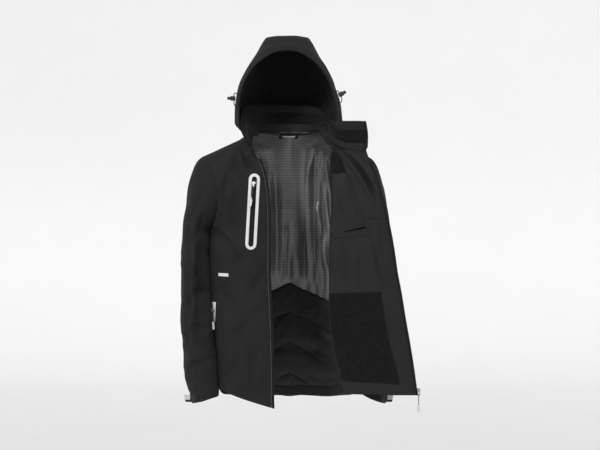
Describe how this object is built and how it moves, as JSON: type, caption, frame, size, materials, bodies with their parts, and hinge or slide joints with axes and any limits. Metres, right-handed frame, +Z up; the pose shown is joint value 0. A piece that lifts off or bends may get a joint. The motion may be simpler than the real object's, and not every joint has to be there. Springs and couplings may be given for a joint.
{
  "type": "softshell jacket",
  "caption": "Hooded softshell jacket in a hollow worn pose, left front rolled open on its fleece, mesh and quilted linings, with chest pocket, hand pockets and hood cord locks.",
  "frame": {"origin": "between the shoulder seams at the base of the neck, where the wearer holds the jacket up", "axes": "+Z up, the jacket faces -Y, the wearer's right side is at -X"},
  "size_m": [0.6627, 0.2828, 1.0348],
  "materials": {
    "softshell": "matte woven softshell",
    "fleece": "short brushed nap",
    "facing": "smooth woven",
    "mesh_lining": "soft sheen tricot mesh",
    "quilted_lining": "quilted taffeta",
    "reflective": "retroreflective white tape",
    "zip_tape": "woven",
    "label": "woven satin",
    "cord": "round elastic braid",
    "slider_metal": "satin",
    "light_plastic": "matt moulded",
    "dark_plastic": "matt moulded"
  },
  "bodies": {
    "jacket": {"Right_Front_Upper": "softshell", "Right_Front_Lower": "softshell", "Right_Front_Side": "softshell", "Right_Hem_Band": "softshell", "Left_Front_Upper": "softshell", "Left_Front_Lower": "softshell", "Left_Front_Side": "softshell", "Left_Hem_Band": "softshell", "Back": "softshell", "Back_Hem_Band": "softshell", "Right_Sleeve": "softshell", "Right_Cuff": "softshell", "Left_Sleeve": "softshell", "Left_Cuff": "softshell", "Collar_Outer": "softshell", "Collar_Top_Facing": "softshell", "Hood_Tunnel": "softshell", "Hood_Right_Side": "softshell", "Hood_Crown_Strip": "softshell", "Hood_Left_Side": "softshell", "Right_Cuff_Tab": "softshell", "Left_Cuff_Tab": "softshell", "Collar_Fleece_Strip": "fleece", "Hood_Right_Lining": "fleece", "Hood_Left_Lining": "fleece", "Left_Inner_Yoke": "fleece", "Left_Fleece_Pocket": "fleece", "Collar_Low_Facing": "facing", "Left_Inner_Panel": "facing", "Left_Upper_Facing": "facing", "Left_Lower_Facing": "facing", "Left_Hem_Facing": "facing", "Left_Pocket_Welt": "facing", "Back_Hem_Facing": "facing", "Back_Mesh_Lining": "mesh_lining", "Back_Quilted_Lining": "quilted_lining", "Chest_Pocket_Frame": "reflective", "Right_Zip_Tape": "zip_tape", "Left_Zip_Tape": "zip_tape", "Chest_Zip": "zip_tape", "Right_Hand_Zip": "zip_tape", "Left_Hand_Zip": "zip_tape", "Neck_Label": "label", "Right_Hood_Cord": "cord", "Left_Hood_Cord": "cord", "Main_Slider": "slider_metal", "Chest_Slider": "slider_metal", "Right_Hand_Slider": "slider_metal", "Left_Hand_Slider": "slider_metal", "Right_Cord_Lock_Barrel": "dark_plastic", "Left_Cord_Lock_Barrel": "dark_plastic"},
    "main_pull": {"Main_Pull": "light_plastic"},
    "chest_pull": {"Chest_Pull": "light_plastic"},
    "right_hand_pull": {"Right_Hand_Pull": "light_plastic"},
    "left_hand_pull": {"Left_Hand_Pull": "light_plastic"},
    "right_plunger": {"Right_Cord_Lock_Plunger": "dark_plastic"},
    "left_plunger": {"Left_Cord_Lock_Plunger": "dark_plastic"}
  },
  "joints": [
    {"name": "main_pull_swing", "type": "hinge", "parent": "jacket", "child": "main_pull", "pos_m": [0.3538, -0.0979, -0.6937], "axis": [0.9897, 0.1431, 0], "range_deg": [0, 150]},
    {"name": "chest_pull_swing", "type": "hinge", "parent": "jacket", "child": "chest_pull", "pos_m": [-0.0942, -0.1274, -0.1329], "axis": [-0.9648, 0.2338, 0.1202], "range_deg": [0, 150]},
    {"name": "right_hand_pull_swing", "type": "hinge", "parent": "jacket", "child": "right_hand_pull", "pos_m": [-0.2101, -0.06, -0.4789], "axis": [-0.4451, 0.8955, 0], "range_deg": [0, 150]},
    {"name": "left_hand_pull_swing", "type": "hinge", "parent": "jacket", "child": "left_hand_pull", "pos_m": [0.1968, -0.0644, -0.4758], "axis": [-0.5873, -0.8094, 0], "range_deg": [0, 150]},
    {"name": "right_plunger_slide", "type": "slide", "parent": "jacket", "child": "right_plunger", "axis": [1, 0, 0], "range_m": [0, 0.003], "stiffness_N_per_m": 600, "springref_m": -0.004},
    {"name": "left_plunger_slide", "type": "slide", "parent": "jacket", "child": "left_plunger", "axis": [-0.88, 0, -0.475], "range_m": [0, 0.003], "stiffness_N_per_m": 600, "springref_m": -0.004}
  ]
}
